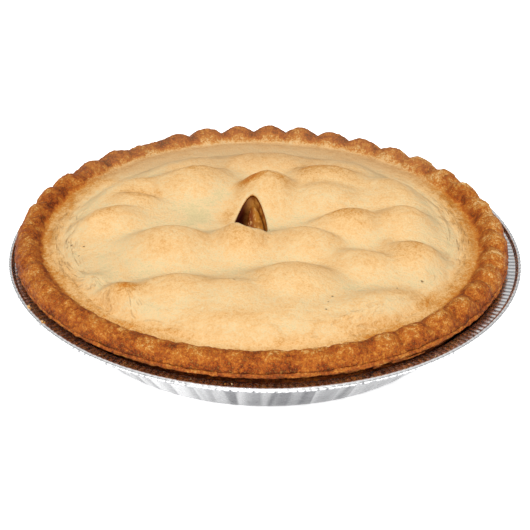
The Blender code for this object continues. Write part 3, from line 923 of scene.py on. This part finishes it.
def rim_bake(points, zone, bead):
    """Bake that the rim adds: more outside and less on its inner slope, with painted shade in its
    notches and paler crimp tops.
    """
    azimuth = polar(points)[1]
    bake = np.interp(zone, *zip(*RIM_BAKE))
    bake += REAR_BAKE * blend(points[:, 1], 20 * MM, 80 * MM) * blend(zone, 1.3, 1.5)
    crest = blend(zone, 1.25, 1.35) * (1.0 - blend(zone, 1.6, 1.8))
    # Painted shade in the notches, paler tops on the crimps.
    bake += NOTCH_SHADE * crest * (NOTCH_MIDDLE - bead)
    bake += stretches(azimuth, RIM_UNEVEN) * blend(zone, 1.2, 1.35)
    inner_slope = blend(zone, 1.1, 1.2) * (1.0 - blend(zone, 1.32, 1.46))
    return bake - REAR_SLOPE_PALE * blend(np.cos(azimuth), 0.4, 0.85) * inner_slope


def lid_bake(points, zone, bead):
    """How far each point of the lid has baked, from 0, pale, to 1, dark, with the painted shade
    that the dome and rim add to it.
    """
    return np.clip(dome_bake(points, zone) + rim_bake(points, zone, bead), 0.0, DARKEST)


def make_lid():
    """The lid: out from the vent over the lumps to the rim, and back underneath."""
    bm = bmesh.new()
    rings, zones, beads = [], [], []

    def lay(place, detail, zone, count):
        turn = turns(count)
        rings.append(place(turn, detail))
        zones.append(np.full(count, zone))
        beads.append(np.cos(math.tau * turn))

    for way in lid_ways():
        lay(top_ring, way, way, FINE)
    section = smooth_rows(RIM_SECTION, RIM_STEPS)
    for step, row in enumerate(section):
        lay(rim_ring, row, 1.0 + step / (len(section) - 1), FINE)
    for row in SEAM_ROWS:
        lay(rim_ring, row, 3.0, COARSE)
    for way in reversed(UNDER_WAYS):
        lay(under_ring, way, 3.0, COARSE)
    loft(bm, rings, closed=True)
    bmesh.ops.recalc_face_normals(bm, faces=bm.faces)
    points, zone, bead = vert_points(bm), np.concatenate(zones), np.concatenate(beads)
    push_out(bm, lid_relief(points, zone, bead))
    # Painted shade on the far slope of the dome, less of it on the rim.
    far_slope_shade = blend(points[:, 1], 50 * MM, 84 * MM)
    finish_piece("pie_lid", bm, make_lid_material(), "pale_crust", ("top_crust",),
                 bake=lid_bake(points, zone, bead), rim=blend(zone, 1.0, 1.45),
                 wrinkled=wrinkling(points), drawn=drawn_out(points, SKIN_LONG, SKIN_WIDE),
                 dull=far_slope_shade * (1.0 - RIM_CLEAR * blend(zone, 1.1, 1.3)))


def make_shell():
    """The bottom crust, whose flaky edge shows between the lid and the pan; in the gap under that
    edge it is painted dark as shade.
    """
    bm = bmesh.new()
    inside = [shell_ring(turns(COARSE), row) for row in CRUST_INSIDE]
    edge = [shell_ring(turns(FINE), row) for row in smooth_rows(CRUST_EDGE, 6)]
    below = [shell_ring(turns(COARSE), row) for row in CRUST_BELOW]
    rings = loft(bm, inside + edge + below)
    close_ring(bm, rings[0], CRUST_INSIDE[0][1] * MM)
    close_ring(bm, rings[-1], CRUST_BELOW[-1][1] * MM)
    bmesh.ops.recalc_face_normals(bm, faces=bm.faces)
    points = vert_points(bm)
    reach, _ = polar(points)
    shows = blend(reach, 112 * MM, 116 * MM)
    layered = along_rim(points * (1, 1, 3), SHELL_LAYER_LONG, SHELL_LAYER_WIDE, 11)
    chipped = grain(points, SHELL_CHIP_SIZE, 12)
    push_out(bm, shows * (SHELL_LAYER_RISE * layered + SHELL_CHIP_RISE * chipped))
    # Painted shade: away from its edge, in the gap under it, the crust takes the darkest tone.
    finish_piece("pie_shell", bm, make_layered_material("shell_dough"), "brown_crust",
                 ("bottom_crust",), bake=1.0 - shows * (SHELL_PALER - SHELL_UNEVEN * layered))


def make_filling():
    """Apple between the crusts, rough and wet where the vent shows it."""
    bm = bmesh.new()
    turn = turns(COARSE)
    rings = [flat_ring(turn, share, WELL_FLOOR) for share in (0.2, 0.4, 0.6)]
    rings += [flat_ring(turn, *row) for row in reversed(WELL)]
    rings += [under_ring(turn, way, GAP) for way in UNDER_WAYS]
    rings += [shell_ring(turn, row) for row in FILLING_SIDE]
    laid = loft(bm, rings)
    close_ring(bm, laid[0], WELL_FLOOR)
    close_ring(bm, laid[-1], FILLING_SIDE[-1][1] * MM)
    bmesh.ops.recalc_face_normals(bm, faces=bm.faces)
    points = vert_points(bm)
    in_well = np.hypot(points[:, 0] - VENT_X, points[:, 1] - VENT_Y) < VENT_HALF_LENGTH
    push_out(bm, in_well * FILLING_RISE * grain(points, FILLING_SIZE, 21))
    finish_piece("pie_filling", bm, make_filling_material(), "apple_filling", ("filling",))


def make_slice():
    """The slice of apple in the vent: a plump wedge that leans up to the back."""
    bm = bmesh.new()
    bmesh.ops.create_uvsphere(bm, u_segments=64, v_segments=48, radius=1.0)
    points = vert_points(bm)
    x, y, z = points.T
    placed = np.stack([
        SLICE_AT[0] + SLICE_HALF[0] * x * (1.0 - SLICE_TAPER * y) - SLICE_BEND * y ** 2,
        SLICE_AT[1] + SLICE_HALF[1] * y,
        SLICE_AT[2] + SLICE_HALF[2] * z + SLICE_RISE * y + SLICE_CURL * y ** 2,
    ], axis=1)
    for vert, point in zip(bm.verts, placed):
        vert.co = point
    drawn = placed * (1.0, 0.3, 1.0)
    push_out(bm, SLICE_GRAIN_RISE * grain(drawn, SLICE_GRAIN_SIZE, 31))
    finish_piece("apple_in_vent", bm, make_apple_material(), "cooked_apple", ("apple_slice",),
                 lit_side=blend(x, -0.5, 0.35))


def round_pan(count):
    """Azimuths of a ring of the pan, and their unit vectors."""
    azimuth = np.arange(count) / count * math.tau
    return azimuth, np.stack([np.sin(azimuth), np.cos(azimuth), np.zeros(count)], axis=1)


def wall_phase(azimuth, unit, way):
    """Which part of its pleat each point of the wall is on; the pleats lean and wander."""
    drift = grain(unit, 0.16, 41, 2)
    lean = grain(unit, 0.11, 42, 2)
    return PLEATS * azimuth + PLEAT_DRIFT * drift + PLEAT_LEAN * lean * (way - 0.5)


def wall_ring(radius, height, pleat, way):
    """A ring of the pleated wall, and its painted reflection and shade from 0 to 1."""
    azimuth, unit = round_pan(WALL_COUNT)
    phase = wall_phase(azimuth, unit, way)
    fold = np.arcsin(FOLD_SHARPNESS * np.sin(phase)) * (0.75 + 0.9 * grain(unit, 0.09, 43, 1))
    points = unit * (radius + PLEAT_DEPTH * pleat * fold)[:, None]
    points[:, 2] = height
    # Painted reflection and shade: each pleat brightens across its face and drops to a dark fold.
    across = (phase / math.tau) % 1.0
    crisp = np.clip(0.22 + 0.5 * grain(unit, 0.07, 48, 2), 0.06, 0.5)
    facet = blend(across, 0.0, 0.9) - blend(across, 0.9, 1.0) - 0.5
    creases = [(middle + lean * (way - 0.5), half_width, -dark)
               for middle, lean, half_width, dark in WALL_CREASES]
    level = WALL_SHADE + stretches(azimuth, WALL_LIGHTS) + stretches(azimuth, creases)
    return points, level + crisp * facet


def flange_ring(radius, rib):
    """A ring of the flat flange; `rib` says how deep its pressed ribs are there, and how much
    painted shade darkens their valleys.
    """
    azimuth, unit = round_pan(RIB_COUNT)
    ripple = np.cos(RIBS * azimuth + 0.8 * grain(unit, 0.05, 44, 1))
    points = unit * radius
    points[:, 2] = FLANGE_Z + RIB_DEPTH * rib * ripple * (0.8 + 0.5 * grain(unit, 0.03, 45, 1))
    return points, FLANGE_SHADE - RIB_DARK * rib * blend(-ripple, 0.2, 1.0)


def bead_ring(angle):
    """A ring of the rolled bead, finely notched, with painted shadow where it rolls under and
    painted shade in its notches.
    """
    azimuth, unit = round_pan(RIB_COUNT)
    ragged = grain(unit, 0.012, 47, 2)
    notch = np.cos(RIBS * azimuth + 2.0 * grain(unit, 0.03, 46, 1))
    tube = BEAD_TUBE + NOTCH_DEPTH * notch + RAGGED_DEPTH * ragged
    points = unit * (BEAD_R + tube * math.cos(angle))[:, None]
    points[:, 2] = BEAD_Z + tube * math.sin(angle)
    # Painted shadow under the roll, painted shade in the notches.
    under = blend(-math.degrees(angle) + 25.0 * ragged, 5.0, 20.0)
    outer = blend(math.cos(angle), 0.3, 0.8)
    return points, 1.0 - UNDER_DARK * under - NOTCH_DARK * outer * blend(-notch, 0.3, 1.0)


def make_pan():
    """Pressed foil pan: flat base, pleated wall, ribbed flange and a rolled, notched bead."""
    bm = bmesh.new()
    laid = [wall_ring(0.5 * PAN_BASE_R, 0.0, 0.0, 0.0), wall_ring(PAN_BASE_R, 0.0, 0.0, 0.0)]
    for way in np.linspace(0.0, 1.0, WALL_STEPS):
        radius = PAN_CORNER_R + way * (PAN_WALL_TOP_R - PAN_CORNER_R)
        height = PAN_CORNER_Z + way * (PAN_WALL_TOP_Z - PAN_CORNER_Z)
        pleat = min(0.35 + way * 2.0, 1.0, 0.5 + (1.0 - way) * 4.0)
        laid.append(wall_ring(radius, height, pleat, way))
    for way, rib in FLANGE_ROWS:
        laid.append(flange_ring(FLANGE_IN_R + way * (FLANGE_OUT_R - FLANGE_IN_R), rib))
    laid += [bead_ring(angle)
             for angle in np.radians(np.linspace(BEAD_FROM, BEAD_TO, BEAD_STEPS + 1))]
    rings, shades = zip(*laid)
    edges = loft(bm, rings)
    close_ring(bm, edges[0], 0.0)
    bmesh.ops.recalc_face_normals(bm, faces=bm.faces)
    lowest = min(bm.faces, key=lambda face: face.calc_center_median().z)
    if lowest.normal.z > 0.0:
        bmesh.ops.reverse_faces(bm, faces=bm.faces)
    pan = finish_piece("pie_pan", bm, make_foil_material(), "foil", ("foil_pan",), closed=False,
                       shade=np.append(np.concatenate(shades), BASE_SHADE))
    sheet = pan.modifiers.new("sheet", "SOLIDIFY")
    sheet.thickness = FOIL
    sheet.offset = -1.0


def make_flakes():
    """Thin flakes of pastry that came loose and lean on the crust's lower edge."""
    bm = bmesh.new()
    for azimuth, radius, height, length, width, tilt in FLAKES:
        chip = bmesh.ops.create_grid(bm, x_segments=10, y_segments=3, size=0.5)["verts"]
        for vert in chip:
            along = vert.co.x * length
            across = vert.co.y * width * (1.0 - FLAKE_NARROWS * vert.co.x ** 2)
            rough = noise.noise(Vector((along, across, azimuth)))
            turn = math.radians(azimuth + math.degrees(along / radius))
            reach = (radius + across * math.cos(math.radians(tilt)) + 0.5 * rough) * MM
            vert.co = (PIE_X + reach * math.sin(turn), PIE_Y + reach * math.cos(turn),
                       (height + across * math.sin(math.radians(tilt)) + 0.3 * rough) * MM)
    bmesh.ops.solidify(bm, geom=bm.faces, thickness=FLAKE_THICK)
    bake = FLAKE_BAKE + FLAKE_UNEVEN * grain(vert_points(bm), 3 * MM, 51)
    finish_piece("pastry_flakes", bm, make_layered_material("flake_dough"), "brown_crust",
                 bake=bake)


def make_crumbs():
    """Crumbs that fell on the foil; the small pale ones on the flange also stand for glints on
    it, as painted highlights.
    """
    bm = bmesh.new()
    for azimuth, radius, size in CRUMBS:
        crumb = bmesh.ops.create_icosphere(bm, subdivisions=2, radius=0.5 * size * MM)["verts"]
        turn = math.radians(azimuth)
        floor = BEAD_Z + BEAD_TUBE if radius > FLANGE_OUT_R / MM else FLANGE_Z
        place = (radius * MM * math.sin(turn), radius * MM * math.cos(turn),
                 floor + 0.4 * size * MM)
        bmesh.ops.translate(bm, verts=crumb, vec=place)
    push_out(bm, CRUMB_ROUGH * grain(vert_points(bm), 0.6 * MM, 52))
    bake = CRUMB_BAKE + CRUMB_UNEVEN * grain(vert_points(bm), 3 * MM, 53)
    finish_piece("pastry_crumbs", bm, make_layered_material("crumb_dough"), "brown_crust",
                 bake=bake)


# ---------------------------------------------------------------- stage, light, camera

def make_stage():
    """A plain white floor."""
    bm = bmesh.new()
    bmesh.ops.create_grid(bm, x_segments=1, y_segments=1, size=FLOOR_HALF)
    mesh = bpy.data.meshes.new("floor")
    bm.to_mesh(mesh)
    bm.free()
    material, _, shader = new_material("plain_floor")
    shader.inputs["Base Color"].default_value = FLOOR_COLOUR
    shader.inputs["Roughness"].default_value = 0.9
    shader.inputs["Emission Color"].default_value = WHITE
    shader.inputs["Emission Strength"].default_value = FLOOR_GLOW
    mesh.materials.append(material)
    floor = bpy.data.objects.new("floor", mesh)
    floor.location.z = -FLOOR_GAP
    bpy.context.scene.collection.objects.link(floor)


def direction(azimuth, elevation):
    """Unit vector from the pie; azimuth 0 is the front and grows to the right."""
    azimuth, elevation = math.radians(azimuth), math.radians(elevation)
    return Vector((math.sin(azimuth) * math.cos(elevation),
                   -math.cos(azimuth) * math.cos(elevation), math.sin(elevation)))


def make_light():
    """A broad soft key from above the camera, and white surroundings."""
    sun = bpy.data.lights.new("key", "SUN")
    sun.energy = KEY_STRENGTH
    sun.angle = math.radians(KEY_SPREAD)
    key = bpy.data.objects.new("key", sun)
    key.rotation_euler = direction(KEY_AZIMUTH, KEY_ELEVATION).to_track_quat("Z", "Y").to_euler()
    bpy.context.scene.collection.objects.link(key)
    world = bpy.data.worlds.new("studio")
    world.use_nodes = True
    tree = world.node_tree
    aim = put(tree, "ShaderNodeTexCoord").outputs["Generated"]
    up = put(tree, "ShaderNodeSeparateXYZ", {"Vector": aim}).outputs["Z"]
    background = tree.nodes["Background"]
    background.inputs["Color"].default_value = WHITE
    tree.links.new(ramp(tree, up, 0.0, 0.9, SKY_LOW, SKY_HIGH), background.inputs["Strength"])
    bpy.context.scene.world = world


def make_camera():
    """The photograph's view."""
    lens = bpy.data.cameras.new("camera")
    lens.lens = CAMERA_LENS
    lens.sensor_width = CAMERA_SENSOR
    camera = bpy.data.objects.new("camera", lens)
    back = direction(0.0, CAMERA_ELEVATION)
    aim = back.to_track_quat("Z", "Y").to_matrix().to_4x4()
    roll = Matrix.Rotation(math.radians(CAMERA_ROLL), 4, "Z")
    place = Vector(CAMERA_TARGET) + back * CAMERA_DISTANCE
    camera.matrix_world = Matrix.Translation(place) @ aim @ roll
    bpy.context.scene.collection.objects.link(camera)
    bpy.context.scene.camera = camera
    bpy.context.scene.view_settings.view_transform = "Standard"


make_camera()
make_light()
make_stage()
make_pan()
make_shell()
make_filling()
make_slice()
make_lid()
make_flakes()
make_crumbs()
